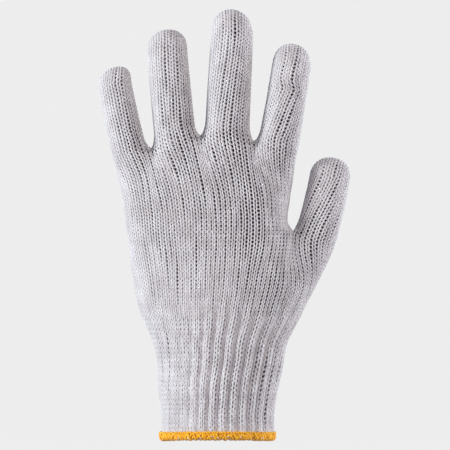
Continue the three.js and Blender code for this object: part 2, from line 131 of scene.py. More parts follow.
# How far the holes between the stitches stand open, at shares of the way across from the left: at the foot
# of a cloth, and at its top. The cloth is full on the left of the fingers, and dense where elastic draws in.
OPEN_DIGIT = ((0, 0), (0.2, 0.1), (0.35, 0.6), (0.5, 1), (0.8, 1), (0.93, 0.8), (1, 0.8))
OPEN_FLANK = ((0, 0), (0.25, 0.05), (0.4, 0.5), (0.55, 1), (0.75, 1.1), (0.9, 1.7), (1, 2))
OPEN_TIP = ((0, 0), (0.5, 0.1), (1, 0.1))
OPEN_THUMB = ((0, 1.6), (0.2, 1.3), (0.5, 1), (0.8, 0.8), (1, 0.4))
OPEN_PALM = (
    (0, 0), (0.1, 0.5), (0.18, 0.8), (0.25, 0.75), (0.31, 0.4), (0.42, 0.5), (0.48, 0.9), (0.55, 1.2),
    (0.65, 1), (0.8, 1.1), (0.86, 1.3), (0.92, 1.1), (1, 0.5),
)
OPEN_HEEL_TOP = (
    (0, 0), (0.1, 0.25), (0.15, 0.85), (0.22, 0.85), (0.27, 0.3), (0.34, 0.4), (0.39, 0.75), (0.45, 1.1),
    (0.55, 1), (0.62, 1.1), (0.67, 1.3), (0.71, 1.1), (0.74, 1.2), (0.76, 1.8), (0.8, 1.8), (0.83, 1),
    (0.9, 1), (1, 0.7),
)
OPEN_HEEL_FOOT = ((0, 0), (0.3, 0.1), (0.5, 0.5), (0.66, 1), (0.73, 1.4), (0.82, 1.4), (0.9, 1), (1, 0.8))
OPEN_CUFF_TOP = ((0, 0.35), (0.4, 0.3), (0.6, 0.3), (0.75, 0.5), (0.9, 0.5), (1, 0.2))
OPEN_CUFF_FOOT = ((0, 0.5), (0.35, 0.4), (0.55, 0), (1, 0))
OPENNESS = {
    "little_finger": (OPEN_FLANK, OPEN_TIP),
    "ring_finger": (OPEN_FLANK, OPEN_TIP),
    "thumb": (OPEN_THUMB, OPEN_TIP),
    "palm": (OPEN_PALM, OPEN_PALM),
    "heel": (OPEN_HEEL_FOOT, OPEN_HEEL_TOP),
    "rib_cuff": (OPEN_CUFF_FOOT, OPEN_CUFF_TOP),
}
# Under the fingers the pattern of each finger runs on into the palm: the share of the palm's height where
# it begins to take over, and the share over which it does.
FINGERS_RUN_ON = (0.35, 0.5)
CROTCH_WALES = np.cumsum([finger["wales"] for finger in FINGERS])[:-1]
CROTCH_HOLES = 1.5  # how far the stitches at the crotches are pulled open
CROTCH_HOLES_AT = (0.82, 0.1)  # where the palm's stitches begin to open to them, and over which share
GUTTER = 0.3  # how far the wales of open cloth draw together, away from their neighbours
RIB_WALES = 3  # wales from one rib of the cuff to the next
RIB_SHIFT = 0.25  # the ribs of the part's source stand this far to the left of their wales
RIB_SPREAD = 0.5  # how much wider than the others the wale of a rib is
RIB_SINK = 0.9  # how deep the wales between the ribs lie, in millimetres
RIB_FLAT = 0.16  # the share of their height that the ribs keep on the left, where the cuff is stretched smooth
RIB_FLAT_END = (0.15, 0.45)  # the share of the way across where they begin to rise, and over which they do
# The lining's outer face is painted near black, as the shade between the stitches.
LINING_DEPTH = 1.9  # where the felted underside of the cloth begins, under its outer side
LINING = 0.3  # its thickness
WELD = 0.00002  # metres: points of a mesh that lie closer are one

# Where a cloth is knitted on to another, its surface runs on over so many courses to each side.
JOIN_REACH = 7
JOIN_ROUNDS = 9
JOIN_EDGE = 1  # wales at a crotch that are left alone
JOIN_FADE = 3  # wales over which it begins

# How far to the right the wales have drifted, in wales, at shares of the way up a digit.
DIGIT_DRIFT = {
    "little_finger": ((0, 0), (0.1, 0.12), (0.2, 0.1), (0.5, 0.15), (1, 0.3)),
    "ring_finger": ((0, 0), (0.05, -0.15), (0.12, -0.3), (0.2, -0.3), (0.5, -0.05), (0.8, 0.12), (1, 0.15)),
    "middle_finger": (
        (0, 0), (0.05, -0.1), (0.1, -0.12), (0.2, 0.03), (0.4, 0.42), (0.6, 0.78), (0.8, 0.95), (1, 0.95),
    ),
    "index_finger": (
        (0, 0), (0.05, -0.14), (0.1, -0.1), (0.2, 0.22), (0.3, 0.6), (0.4, 1), (0.52, 1.6), (0.6, 0.95),
        (0.68, 0.95), (0.8, 1.2), (1, 1.3),
    ),
    "thumb": (
        (0, 0), (0.1, 0.12), (0.2, 0.34), (0.3, 0.6), (0.4, 0.93), (0.5, 1.3), (0.6, 1.7), (0.7, 2.05), (1, 2.2),
    ),
}
# The wales of the hand turn to the right under the fingers: the share of it, at shares of the way up the
# palm, and the wales that it comes to, at shares of the way round from the left side over the front.
PALM_TWIST = ((0, 1), (0.2, 1), (0.35, 0.9), (0.5, 0.72), (0.6, 0.57), (0.7, 0.4), (0.8, 0.24), (0.9, 0.12), (1, 0))
TWIST_ROUND = (
    (0, 1.8), (0.2, 2), (0.25, 1.6), (0.31, 1.4), (0.36, 2), (0.41, 1.4), (0.46, 0.5), (0.5, 0), (0.6, 0), (1, 1.8),
)
# Down to the cuff they turn on, until all are a whole rib away from where they started.
HEEL_TWIST = RIB_WALES
HEEL_TWIST_END = 0.25  # the share of the heel's height where that is reached
CUFF_TWIST = ((0, -2.1), (0.3, -1.3), (0.55, -1.25), (0.9, -0.1), (1, 0))

# The overlocked hem, in millimetres.
HEM_THREAD = 1.25  # thickness of the bulked thread
HEM_OUT = -1.2  # the middle of the hem, out from the cloth's outer side
HEM_UP = 2.45
HEM_HALF = (2.2, 1.95)  # half the hem's depth and height, at the middle of its thread
HEM_POWER = 2.6  # how square the hem is
# Each pass of the thread: its wraps, their lean in wraps, and how far it stands proud of the hem.
HEM_PASSES = ((118, 0.9, 0), (59, -0.55, 0.25))
LEAN_INSIDE = 0.4  # the share of the lean on the hem's inner side
WRAP_UNEVEN = (0.05, 0.22, 0.09)  # chance differences of the wraps: size, place in wraps, and fullness
POINTS_PER_WRAP = 14
CHAIN_LINKS = 60
CHAIN_UNEVEN = 0.12  # chance differences of the links' places, in links
CHAIN_SET = 0.15  # how far the chain lies out from the hem's upper edge, and down from it
CHAIN_BULGE, CHAIN_ARCH = 0.25, 0.5  # how far a link swells out, and rises
POINTS_PER_LINK = 8
CORE_INSET = 0.1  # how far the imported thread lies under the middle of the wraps
CORE_POINTS = (180, 16)  # round the mouth, and round the hem
# Places across the front where the cotton shows through the hem, from the photograph.
FLECKS = (-21.8, -16.5, -9.6, -3.2, 0.3, 6.1, 13.1, 25.3)
FLECK_HEIGHTS = (1.2, 2.6)
BACK_FLECKS = 16  # the same on the back, anywhere
BACK_FLECK_HEIGHTS = (1, 3.5)
TUFT_YARN = 0.9
TUFT_HALF = (0.4, 0.8)  # half the length of a curl
TUFT_OUT, TUFT_CURL = 0.55, 0.35  # how far its middle stands out of the hem, and its ends bend back
TUFT_TAPER = 0.4  # the share of its thickness that a curl loses towards its ends
MOUTH_ROUND = 180  # the way round the mouth, nearly

chance = np.random.default_rng(7)


# Shapes of the glove.


def mix(a, b, share):
    return a + (b - a) * share


def smooth(share):
    return share * share * (3 - 2 * share)


def rise(at, start, over):
    """Smoothly from 0 at its start to 1, over a stretch."""
    return smooth(np.clip((at - start) / over, 0, 1))


def squared(wave, power):
    """A sine or cosine that goes round a rounded square, or round a circle for a power of 2."""
    return np.sign(wave) * np.abs(wave) ** (2 / power)


def unit(vectors):
    return vectors / np.maximum(np.linalg.norm(vectors, axis=-1, keepdims=True), 1e-9)


def follow(points, at):
    """The value between the points of a short table of places and values."""
    return np.interp(at, *zip(*points))


def between(table, at, column):
    """A table's value between its rows, on the same curve as in the part's source."""
    ats, values = table["at"], table[column]
    upper = max(1, next(i for i, row in enumerate(ats) if row >= at - 1e-9))
    low, high = upper - 1, upper

    def slope(i, j):
        return (values[j] - values[i]) / (ats[j] - ats[i])

    start = slope(low - 1, high) if low > 0 else slope(low, high)
    end = slope(low, high + 1) if high < len(ats) - 1 else slope(low, high)
    width = ats[high] - ats[low]
    t = (at - ats[low]) / width
    return (
        (1 + 2 * t) * (1 - t) ** 2 * values[low]
        + t * (1 - t) ** 2 * width * start
        + t * t * (3 - 2 * t) * values[high]
        + t * t * (t - 1) * width * end
    )


@dataclass
class Section:
    """A rounded section of the glove, in millimetres."""

    centre: np.ndarray
    across: np.ndarray
    left: float
    right: float
    half: float
    power: float

    def grown(self, by):
        return replace(self, left=self.left + by, right=self.right + by, half=self.half + by)

    def ring(self, columns):
        """Its outline in equal steps: the front from left to right, then the back."""
        turn = np.linspace(np.pi, -np.pi, RING_STEPS)
        side, front = np.cos(turn), np.sin(turn)
        reach = np.where(side < 0, self.left, self.right)
        x = reach * squared(side, self.power)
        y = -self.half * squared(front, self.power)
        length = np.concatenate([[0], np.cumsum(np.hypot(np.diff(x), np.diff(y)))])
        at = (np.arange(columns) + 0.5) / columns * length[-1]
        x, y = np.interp(at, length, x), np.interp(at, length, y)
        return self.centre + np.outer(x, self.across) + np.outer(y, BACK)


def end_of(width, shift, depth):
    return {"left": shift - width / 2, "right": shift + width / 2, "half": depth / 2}


def hand_section(table, at, low, high, power):
    left = mix(low["left"], high["left"], between(table, at, "left"))
    right = mix(low["right"], high["right"], between(table, at, "right"))
    half = mix(low["half"], high["half"], between(table, at, "depth"))
    centre = np.array([(left + right) / 2, 0.0, 0.0])
    return Section(centre, np.array([1.0, 0.0, 0.0]), (right - left) / 2, (right - left) / 2, half, power)


class Digit:
    """A finger or thumb that springs from the line between two points of the hand."""

    def __init__(self, row, start, end, flare_left, flare_right, set_back):
        for name, value in row.items():
            setattr(self, name, value)
        share = (self.width / 2 + flare_left) / (self.width + flare_left + flare_right)
        self.root = mix(start, end, share) + BACK * set_back
        self.flare_left, self.flare_right = flare_left, flare_right
        self.root_across = (end - start) / np.linalg.norm(end - start)
        self.columns = 2 * (self.wales + 1)

    def lean_at(self, height):
        return np.radians(mix(self.lean, self.tip_lean, height / self.length))

    def section(self, height):
        lean = self.lean_at(height)
        mean_lean = (np.radians(self.lean) + lean) / 2
        centre = self.root + height * np.array([np.sin(mean_lean), 0, np.cos(mean_lean)])
        centre = centre + BACK * self.curl * (height / self.length) ** 2
        settled = rise(height, 0, 2 * CROTCH_RISE)
        across = mix(self.root_across, np.array([np.cos(lean), 0, -np.sin(lean)]), settled)
        across = across / np.linalg.norm(across)
        taper = mix(1, self.taper, height / self.length)
        flare = (1 - np.clip(height / CROTCH_RISE, 0, 1)) ** 2
        return Section(
            centre,
            across,
            self.width / 2 * taper + self.flare_left * flare,
            self.width / 2 * taper + self.flare_right * flare,
            self.depth / 2 * taper,
            DIGIT_POWER,
        )

    def dome_ring(self, share):
        """A ring over the rounded tip. Front and back meet on a line across the tip."""
        height = self.length - self.dome
        section = self.section(height)
        turn = share * np.pi / 2
        lean = self.lean_at(height)
        axis = np.array([np.sin(lean), 0, np.cos(lean)])
        ring = section.ring(self.columns)
        depth = ring[:, 1] - section.centre[1]
        bulge = np.abs(depth) / section.half
        ring[:, 1] = section.centre[1] + depth * np.cos(turn)
        return ring + np.sin(turn) * np.outer(bulge, self.dome * axis + self.peak * section.across)


def meet(left, right):
    """The roots of neighbours share their crotch's points."""
    half = len(left) // 2
    for i, j in ((half - 1, 0), (half, len(right) - 1)):
        left[i] = right[j] = (left[i] + right[j]) / 2


def side_by_side(rings):
    """Neighbouring roots as one ring of the hand."""
    fronts = [ring[: len(ring) // 2] for ring in rings]
    backs = [ring[len(ring) // 2 :][::-1] for ring in rings]
    front = np.concatenate([fronts[0], *(part[1:] for part in fronts[1:])])
    back = np.concatenate([backs[0], *(part[1:] for part in backs[1:])])
    return np.concatenate([front, back[::-1]])


def hand_cloth(table, low, high, foot, fade, top, power, courses):
    """Rows of the hand below a row of digits: even at its foot, and the digits' roots at its top."""
    highest = hand_section(table, 1, low, high, power(1))
    rows = []
    for at in np.linspace(0, 1, courses + 1):
        section = hand_section(table, at, low, high, power(at))
        even = section.ring(len(top))
        below = (1 - at) * (top[:, 2] - foot)
        depth = 1 - np.sqrt(1 - (1 - np.clip(below / fade, 0, 1)) ** 2)
        spread = smooth(1 - np.clip(below / WALE_FADE, 0, 1))
        across = section.centre[0] + (top[:, 0] - highest.centre[0]) * section.left / highest.left
        x = mix(even[:, 0], across, spread)
        if "notch" in table:
            near = np.clip((x - section.centre[0]) / section.right, 0, 1) ** 3
            x = x - between(table, at, "notch") * PALM["width"] * near
        y = mix(even[:, 1], top[:, 1], depth)
        z = mix(foot, top[:, 2], at)
        rows.append(np.stack([x, y, z], axis=1))
    return np.array(rows)


def digit_cloth(digit, root):
    shaft = digit.length - digit.dome
    courses, tip_courses = round(shaft / COURSE), round(DOME_ARC * digit.dome / COURSE)
    rows = [root]
    rows += [digit.section(shaft * i / courses).ring(digit.columns) for i in range(1, courses + 1)]
    rows += [digit.dome_ring(i / tip_courses) for i in range(1, tip_courses + 1)]
    return np.array(rows)


def mouth_arch(ring, half):
    """How far the mouth's edge is drawn up on the front and the back, at each point of a ring."""
    return MOUTH_ARCH * np.clip(np.abs(ring[:, 1]) / half, 0, 1) ** 2


def cuff_cloth(low, high, columns, courses):
    rows = []
    for at in np.linspace(0, 1, courses + 1):
        section = hand_section(CUFF_ROWS, at, low, high, CUFF_POWER).grown(-CUFF_INSET * (1 - at))
        ring = section.ring(columns)
        ring[:, 2] = mix(CUFF_FOOT, CUFF_HEIGHT, at) + mouth_arch(ring, low["half"]) * (1 - at)
        rows.append(ring)
    return np.array(rows)


def ease_join(below, above, first):
    """Rounds the step between a cloth and the one that is knitted on from its wale "first" on."""
    half, reach = above.shape[1] // 2, min(JOIN_REACH, len(above) - 1)
    for side in (0, 1):
        lower, upper = (below, above) if side == 0 else (below[:, ::-1], above[:, ::-1])
        for wale in range(JOIN_EDGE, half - JOIN_EDGE):
            column = first + wale
            run = np.concatenate([lower[-JOIN_REACH:, column], upper[1:reach, wale]])
            eased = run.copy()
            for _ in range(JOIN_ROUNDS):
                eased[1:-1] = (eased[:-2] + 2 * eased[1:-1] + eased[2:]) / 4
            # The crotches at both sides stay as they are.
            share = min(1, (min(wale, half - 1 - wale) - JOIN_EDGE + 1) / JOIN_FADE)
            run = mix(run, eased, share)
            lower[-JOIN_REACH:, column] = run[:JOIN_REACH]
            upper[:reach, wale] = run[JOIN_REACH - 1 :]


# Places on the cloth.


def curve_weights(t):
    """Weights of four neighbours on a smooth curve through them."""
    return np.stack(
        [
            -0.5 * t + t**2 - 0.5 * t**3,
            1 - 2.5 * t**2 + 1.5 * t**3,
            0.5 * t + 2 * t**2 - 1.5 * t**3,
            -0.5 * t**2 + 0.5 * t**3,
        ]
    )


class Cloth:
    """A tube of knitted cloth: rows of places, one for each course, round which the wales run.

    In a ribbed cloth every third wale stands proud, and the two between sink.
    """

    def __init__(self, name, rows, drift, table=None, closed=False):
        self.name = name
        self.rows = rows
        self.drift = drift
        self.courses = len(rows) - 1
        self.wales = rows.shape[1]
        at = np.linspace(0, 1, self.courses + 1)
        self.rib = np.array([between(table, share, "rib") if table else 0 for share in at])
        # One more row at each end: straight on, or over a closed tip to its other side.
        beyond = rows[-2][::-1] if closed else 2 * rows[-1] - rows[-2]
        self.sheet = np.concatenate([[2 * rows[0] - rows[1]], rows, [beyond]])
        up = np.gradient(self.sheet, axis=0)
        along = (np.roll(self.sheet, -1, axis=1) - np.roll(self.sheet, 1, axis=1)) / 2
        self.outward = unit(np.cross(along, up))

    def sample(self, values, course, wale):
        row = np.clip(np.floor(course), 0, self.courses - 1).astype(int)
        column = np.floor(wale).astype(int)
        by_row, by_column = curve_weights(course - row), curve_weights(wale - column)
        total = 0
        for i in range(4):
            line = sum(by_column[j][..., None] * values[row + i, (column + j - 1) % self.wales] for j in range(4))
            total = total + by_row[i][..., None] * line
        return total

    def across(self, course, wale):
        """The share of the way from the left side of the cloth to its right side."""
        row = np.arange(self.courses + 1)
        x = self.sample(self.sheet, course, wale)[..., 0]
        left = np.interp(course, row, self.rows[:, :, 0].min(axis=1))
        right = np.interp(course, row, self.rows[:, :, 0].max(axis=1))
        return (x - left) / (right - left)

    def place(self, course, wale, depth):
        """Places in metres, at a depth in millimetres under the cloth's outer side."""
        course = np.clip(course, -0.5, self.courses + 0.4)
        if self.rib.any():
            rib = np.interp(course, np.arange(self.courses + 1), self.rib)
            stitch = wale - self.drift(course / self.courses, wale / self.wales)
            turn = 2 * np.pi * (stitch - RIB_WALES / 2) / RIB_WALES
            drawn = RIB_WALES / (2 * np.pi) * RIB_SPREAD * np.sin(turn) - RIB_SHIFT
            rib = rib * mix(RIB_FLAT, 1, rise(self.across(course, wale), *RIB_FLAT_END))
            proud = 0.5 + 0.5 * np.cos(turn)
            depth = depth - rib * (RIB_DEPTH * proud - RIB_SINK * (1 - proud))
            wale = wale + rib * drawn
        out = unit(self.sample(self.outward, course, wale))
        return (self.sample(self.sheet, course, wale) - depth[..., None] * out) * MM


def uneven(courses, wales, amount, smoothing):
    """Chance differences of the stitches, which run on from course to course."""
    field = chance.normal(0, 1, (courses, wales))
    for _ in range(smoothing):
        field = (np.roll(field, 1, axis=0) + 2 * field + np.roll(field, -1, axis=0)) / 4
    return field / field.std() * amount


def from_ends(courses):
    """Rises from 0 at both ends of a cloth to 1, so that its wales meet those of the next."""
    course = np.arange(courses)
    return np.clip(np.minimum(course, courses - 1 - course) / EVEN_ENDS, 0, 1)


def digit_drift(name):
    return lambda up, turn: follow(DIGIT_DRIFT[name], up)


def palm_drift(up, turn):
    return follow(PALM_TWIST, up) * follow(TWIST_ROUND, turn % 1)


def heel_drift(up, turn):
    """The palm is four fifths of the way round the heel, and the thumb is the rest."""
    palm_turn = follow(((0, 0), (0.4, 0.5), (0.6, 0.5), (1, 1)), turn % 1)
    top = follow(TWIST_ROUND, palm_turn)
    return mix(HEEL_TWIST, top, rise(up, HEEL_TWIST_END, 1 - HEEL_TWIST_END))


def cuff_drift(up, turn):
    return follow(CUFF_TWIST, up)


class Mouth:
    """The edge of the cuff, where the hem is wound round it."""

    def __init__(self, section):
        self.ring = section.ring(MOUTH_POINTS)
        self.ring[:, 2] = mouth_arch(self.ring, section.half)
        along = np.roll(self.ring, -1, axis=0) - np.roll(self.ring, 1, axis=0)
        self.outward = unit(np.cross(along, UP))

    def place(self, share, out, up):
        """Places in metres, at a share of the way round, and in millimetres out from the cloth and up."""
        at, count = share * len(self.ring), len(self.ring)
        low = np.floor(at).astype(int)
        part = (at - low)[..., None]
        edge = mix(self.ring[low % count], self.ring[(low + 1) % count], part)
        outward = mix(self.outward[low % count], self.outward[(low + 1) % count], part)
        return (edge + out[..., None] * outward + up[..., None] * UP) * MM

    def share_at(self, x):
        """The share of the way round to the front's point at x."""
        front = len(self.ring) // 2
        return np.interp(x, self.ring[:front, 0], np.arange(front) / len(self.ring))


def between_wraps(values, along):
    """Values given for each wrap, run together along a thread."""
    low = np.floor(along).astype(int)
    return mix(values[low % len(values)], values[(low + 1) % len(values)], smooth(along - low))


def hem_wraps(mouth, wraps, lean, proud):
    """One thread wound round the edge of the cuff. It leans from the hem's foot to its top."""
    along = np.arange(wraps * POINTS_PER_WRAP) / POINTS_PER_WRAP
    turn = 2 * np.pi * along
    out, up = squared(np.cos(turn), HEM_POWER), squared(np.sin(turn), HEM_POWER)
    size, slip, fullness = (between_wraps(chance.normal(0, by, wraps), along) for by in WRAP_UNEVEN)
    share = (along + slip + lean * up * np.where(out > 0, 1, LEAN_INSIDE)) / wraps
    out = HEM_OUT + (HEM_HALF[0] + proud) * out * (1 + size)
    up = HEM_UP + (HEM_HALF[1] + proud) * up * (1 + size)
    return mouth.place(share, out, up), 1 + fullness


def hem_chain(mouth):
    """The needle's thread, which runs along the hem's upper edge in small arches."""
    along = np.arange(CHAIN_LINKS * POINTS_PER_LINK) / POINTS_PER_LINK
    turn = 2 * np.pi * along
    slip = between_wraps(chance.normal(0, CHAIN_UNEVEN, CHAIN_LINKS), along)
    out = HEM_OUT + HEM_HALF[0] + CHAIN_SET + CHAIN_BULGE * np.cos(2 * turn)
    up = HEM_UP + HEM_HALF[1] - CHAIN_SET + CHAIN_ARCH * np.sin(turn)
    return mouth.place((along + slip) / CHAIN_LINKS, out, up), np.ones(len(along))


def tuft(mouth, share, up):
    """A short curl of cotton that stands out between the wraps."""
    bend = np.linspace(-1, 1, 5)
    half = chance.uniform(*TUFT_HALF)
    side = chance.uniform(-1, 1)
    along = share + half * side * bend / MOUTH_ROUND
    height = up + half * bend * (1 - abs(side) / 2)
    out = HEM_OUT + HEM_HALF[0] + TUFT_OUT - TUFT_CURL * bend**2
    return mouth.place(along, out, height), 1 - TUFT_TAPER * np.abs(bend)


def open_at(cloth, course, stitch, wale):
    """How far the cloth stands open at each place of a course."""
    up = course / cloth.courses
    across = cloth.across(np.full(len(wale), course), wale)
    foot, top = OPENNESS.get(cloth.name, (OPEN_DIGIT, OPEN_TIP))
    standing = mix(follow(foot, across), follow(top, across), up)
    if cloth.name == "palm":
        column = np.minimum(stitch, cloth.wales - 1 - stitch)
        # The little finger is a wale narrower than the others.
        wide = FINGERS[-1]["wales"]
        finger_share = np.where(column < CROTCH_WALES[0], column + 0.5, (column + 1) % wide) / wide
        standing = mix(standing, follow(OPEN_DIGIT, finger_share), rise(up, *FINGERS_RUN_ON))
        start, over = CROTCH_HOLES_AT
        at_crotch = np.isin(column, CROTCH_WALES) * np.clip((up - start) / over, 0, 1)
        standing = mix(standing, CROTCH_HOLES, at_crotch)
    return standing


def knit_courses(cloth):
    """The yarn of every course, looped through the course below: its places and its fullness."""
    step = np.arange(cloth.wales * POINTS_PER_STITCH) / POINTS_PER_STITCH
    stitch = np.floor(step).astype(int)
    part = step - stitch
    turn = 2 * np.pi * step
    shift = uneven(cloth.courses, cloth.wales, *WALE_UNEVEN) * from_ends(cloth.courses)[:, None]
    loose = uneven(cloth.courses, cloth.wales, *SLACK_UNEVEN)
    thin = uneven(cloth.courses, cloth.wales, *YARN_UNEVEN)
    strands = []
    for course in range(cloth.courses):
        # A wale moves as a whole, and the yarn between two wales makes up the difference.
        own, last = shift[course][stitch], shift[course][stitch - 1]
        slack = 1 + loose[course][stitch]
        wale = step + np.where(part == 0, (own + last) / 2, own) + LOOP_SWAY * slack * np.sin(2 * turn)
        height = course + 0.5 - LOOP_REACH * np.cos(turn)
        wale = wale + cloth.drift(height / cloth.courses, step / cloth.wales)
        open_side = open_at(cloth, course, stitch, wale)
        wale = wale + open_side * GUTTER / (2 * np.pi) * np.sin(turn)
        depth = CLOTH_MIDDLE + LOOP_DEPTH * mix(LOOP_FLAT, 1, open_side) * np.cos(2 * turn)
        fullness = mix(YARN_FULL, YARN_DRAWN, open_side) + thin[course][stitch]
        strands.append((cloth.place(height, wale, depth), fullness))
    return strands


# Materials.


def linear(hex_colour):
    """An sRGB colour in the linear values that the shader works in."""
    channels = [int(hex_colour[i : i + 2], 16) / 255 for i in (1, 3, 5)]
    return [c / 12.92 if c <= 0.04045 else ((c + 0.055) / 1.055) ** 2.4 for c in channels] + [1]


def fill(node, inputs):
    """Gives each input of a node its value, or a link from a socket or from a node's first output."""
    for name, value in inputs.items():
        if isinstance(value, bpy.types.Node):
            value = value.outputs[0]
        if isinstance(value, bpy.types.NodeSocket):
            node.id_data.links.new(value, node.inputs[name])
        else:
            node.inputs[name].default_value = value
    return node


def add(tree, kind, inputs=None, **settings):
    """Adds a node with its settings, and with values and links for its inputs."""
    node = tree.nodes.new(kind)
    for name, value in settings.items():
        setattr(node, name, value)
    return fill(node, inputs or {})


def new_material(name):
    material = bpy.data.materials.new(name)
    material.use_nodes = True
    return material, material.node_tree


def dress(tree, tone, tones, colours, relief, finish):
    """Colours a cloth by its tone, from dark to pale, and gives it its relief and its finish."""
    shades = add(tree, "ShaderNodeValToRGB", {"Fac": tone})
    shades.color_ramp.elements.new(0.5)
    for element, position, colour in zip(shades.color_ramp.elements, tones, colours):
        element.position = position
        element.color = linear(colour)
    bump = add(tree, "ShaderNodeBump", relief)
    fill(tree.nodes["Principled BSDF"], {"Base Color": shades, "Normal": bump, **finish})


def spun_cotton(name, *colours):
    """Cotton yarn, carded and twisted from short fibres: matt, downy and a little uneven in colour."""
    material, tree = new_material(name)
    place = add(tree, "ShaderNodeTexCoord").outputs
    # Colour drifts over about 9 mm of cloth, and flecks of about 1 mm lie on single stitches.
    drift = add(tree, "ShaderNodeTexNoise", {"Vector": place["Object"], "Scale": 110, "Detail": 2})
    fleck = add(tree, "ShaderNodeTexNoise", {"Vector": place["Object"], "Scale": 900, "Detail": 3})
    tone = add(tree, "ShaderNodeMix", {"A": drift, "B": fleck, "Factor": 0.4})
    # Two plies twist round each other, with three turns to a stitch.
    yarn = add(tree, "ShaderNodeSeparateXYZ", {"Vector": place["UV"]}).outputs
    twist = add(tree, "ShaderNodeMath", {0: yarn["X"], 1: 3}, operation="MULTIPLY")
    plies = add(tree, "ShaderNodeMath", {0: yarn["Y"], 1: 2}, operation="MULTIPLY")
    phase = add(tree, "ShaderNodeMath", {0: twist, 1: plies}, operation="ADD")
    full_turn = add(tree, "ShaderNodeMath", {0: phase, 1: 2 * np.pi}, operation="MULTIPLY")
    ply = add(tree, "ShaderNodeMath", {0: full_turn}, operation="SINE")
    # Single fibres, drawn as coarse as 0.3 mm.
    fibres = add(tree, "ShaderNodeTexNoise", {"Vector": place["Object"], "Scale": 3500, "Detail": 2})
    relief = add(tree, "ShaderNodeMath", {0: ply, 1: fibres}, operation="ADD")
    dress(
        tree, tone, (0.36, 0.5, 0.64), colours,
        {"Height": relief, "Strength": 0.25, "Distance": 0.00006},
        {"Roughness": 0.95, "Specular IOR Level": 0.15, "Sheen Weight": 0.25, "Sheen Roughness": 0.6},
    )
    return material


def purl_side(name, *colours):
    """The inner side of knitted cotton: a low crossbar over each course, felted together by wear and washing."""
    material, tree = new_material(name)
    place = add(tree, "ShaderNodeTexCoord").outputs
    # Its UV map counts wales across and courses up. A crossbar bows up in the middle of its wale.
    stitch = add(tree, "ShaderNodeSeparateXYZ", {"Vector": place["UV"]}).outputs
    bar_turn = add(tree, "ShaderNodeMath", {0: stitch["X"], 1: 2 * np.pi}, operation="MULTIPLY")
    bow = add(tree, "ShaderNodeMath", {0: bar_turn}, operation="COSINE")
    low_bow = add(tree, "ShaderNodeMath", {0: bow, 1: 0.22}, operation="MULTIPLY")
    level = add(tree, "ShaderNodeMath", {0: stitch["Y"], 1: low_bow}, operation="ADD")
    course_turn = add(tree, "ShaderNodeMath", {0: level, 1: 2 * np.pi}, operation="MULTIPLY")
    bar = add(tree, "ShaderNodeMath", {0: course_turn}, operation="SINE")
    # The felt's tangled fibres, drawn as coarse as 1 mm.
    felt = add(tree, "ShaderNodeTexNoise", {"Vector": place["Object"], "Scale": 1000, "Detail": 3})
    relief = add(tree, "ShaderNodeMath", {0: bar, 1: felt}, operation="ADD")
    # Painted shade: the tone is paler on the crossbars and darker between them, where their relief sinks; the felt
    # varies it at random.
    tone = add(tree, "ShaderNodeMix", {"A": bar, "B": felt, "Factor": 0.75})
    dress(
        tree, tone, (0.1, 0.4, 0.65), colours,
        {"Height": relief, "Strength": 0.8, "Distance": 0.0004},
        {"Roughness": 0.97, "Specular IOR Level": 0.1, "Sheen Weight": 0.3, "Sheen Roughness": 0.6},
    )
    return material


def bulked_polyester(name, *colours):
    """Textured polyester overlocking thread: crimped filaments that make it soft, full and nearly matt."""
    material, tree = new_material(name)
    place = add(tree, "ShaderNodeTexCoord").outputs
    # The dye takes unevenly over about 3 mm; the crimp of the filaments is about 0.4 mm.
    dye = add(tree, "ShaderNodeTexNoise", {"Vector": place["Object"], "Scale": 330, "Detail": 2})
    crimp = add(tree, "ShaderNodeTexNoise", {"Vector": place["Object"], "Scale": 2500, "Detail": 3})
    tone = add(tree, "ShaderNodeMix", {"A": dye, "B": crimp, "Factor": 0.4})
    dress(
        tree, tone, (0.36, 0.5, 0.64), colours,
        {"Height": crimp, "Strength": 0.6, "Distance": 0.0002},
        {"Roughness": 0.8, "Specular IOR Level": 0.3, "Sheen Weight": 0.2, "Sheen Roughness": 0.5},
    )
    return material


# Pieces.


def finished(piece, slot, *nodes):
    """Puts a piece in the scene, on the root body, and hides the nodes that it stands for. The slot is not used."""
    bpy.context.scene.collection.objects.link(piece)
    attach(piece, "root")
    if nodes:
        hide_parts(*nodes)


def yarn_piece(name, strands, thickness, closed, material, turns=1):
    """Round yarn along each strand, as one mesh. Its UV map counts stitches along and turns round."""
    curve = bpy.data.curves.new(name, "CURVE")
    curve.dimensions = "3D"
    curve.bevel_depth = thickness / 2 * MM
    curve.bevel_resolution = 0
    for strand, fullness in strands:
        spline = curve.splines.new("POLY")
        spline.points.add(len(strand) - 1)
        spline.points.foreach_set("co", np.c_[strand, np.ones(len(strand))].ravel())
        spline.points.foreach_set("radius", fullness)
        spline.use_cyclic_u = closed
        spline.use_smooth = True
    maker = bpy.data.objects.new(name + "_path", curve)
    mesh = bpy.data.meshes.new_from_object(maker)
    bpy.data.objects.remove(maker)
    bpy.data.curves.remove(curve)
    mesh.name = name
    if mesh.uv_layers:
        layer = mesh.uv_layers[0]
        uv = np.empty(2 * len(layer.uv))
        layer.uv.foreach_get("vector", uv)
        uv[0::2] *= turns
        layer.uv.foreach_set("vector", uv)
    mesh.shade_smooth()
    mesh.materials.clear()
    mesh.materials.append(material)
    return bpy.data.objects.new(name, mesh)


def object_from(maker, name, *materials):
    """The finished bmesh as an object with smooth faces."""
    mesh = bpy.data.meshes.new(name)
    maker.to_mesh(mesh)
    maker.free()
    mesh.shade_smooth()
    for material in materials:
        mesh.materials.append(material)
    return bpy.data.objects.new(name, mesh)


